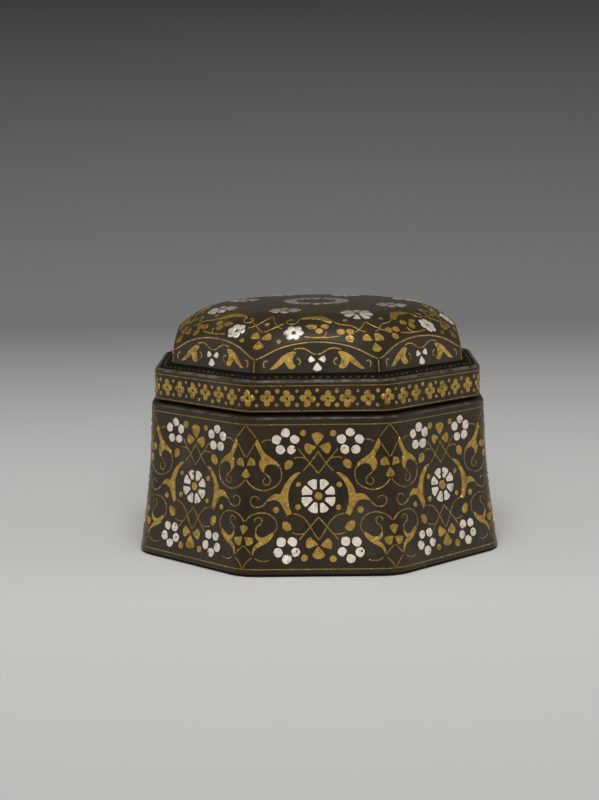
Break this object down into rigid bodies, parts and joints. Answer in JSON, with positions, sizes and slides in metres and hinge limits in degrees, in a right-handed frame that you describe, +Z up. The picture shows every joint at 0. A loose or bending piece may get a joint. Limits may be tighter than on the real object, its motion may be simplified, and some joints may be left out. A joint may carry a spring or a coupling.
{
  "type": "octagonal betel box",
  "caption": "Eight-sided lidded box of blackened zinc alloy with a low dome and flush brass and silver flower inlay.",
  "frame": {"origin": "middle of the underside, on the ground", "axes": "+Z up through the dome; one of the eight faces looks along -Y"},
  "size_m": [0.1396, 0.1396, 0.0948],
  "materials": {
    "blackened_alloy": "satin black patina",
    "brass_inlay": "worn satin",
    "silver_inlay": "soft satin silver",
    "collar_brass": "dull, unpolished"
  },
  "bodies": {
    "box": {"body_casting": "blackened_alloy", "base_plate": "blackened_alloy", "mouth_collar": "collar_brass", "body_border_lines": "brass_inlay", "body_rosette_petals": "silver_inlay", "body_rosette_eyes": "brass_inlay", "body_dots": "brass_inlay", "body_blossom_petals": "silver_inlay", "body_trefoils": "brass_inlay", "body_buds": "brass_inlay", "leaf_arms": "brass_inlay", "leaf_arm_curls": "brass_inlay", "face_lattice_wires": "brass_inlay", "corner_leaves": "brass_inlay", "corner_curls": "brass_inlay", "corner_heart_wires": "brass_inlay", "corner_lattice_wires": "brass_inlay", "corner_stems": "brass_inlay", "corner_trefoils": "brass_inlay"},
    "lid": {"lid_casting": "blackened_alloy", "rim_border_lines": "brass_inlay", "rim_quatrefoils": "brass_inlay", "rim_dots": "brass_inlay", "ledge_beads": "brass_inlay", "dome_arch_wires": "brass_inlay", "arch_leaves": "brass_inlay", "arch_scroll_wires": "brass_inlay", "arch_trefoils": "silver_inlay", "shoulder_blossoms": "silver_inlay", "shoulder_trefoils": "brass_inlay", "shoulder_leaf_arms": "brass_inlay", "shoulder_wires": "brass_inlay", "shoulder_dots": "brass_inlay", "crown_flower_petals": "silver_inlay", "crown_rosette_petals": "silver_inlay"}
  },
  "joints": [
    {"name": "lid_lift", "type": "slide", "parent": "box", "child": "lid", "axis": [0, 0, 1], "range_m": [0, 0.12]}
  ]
}
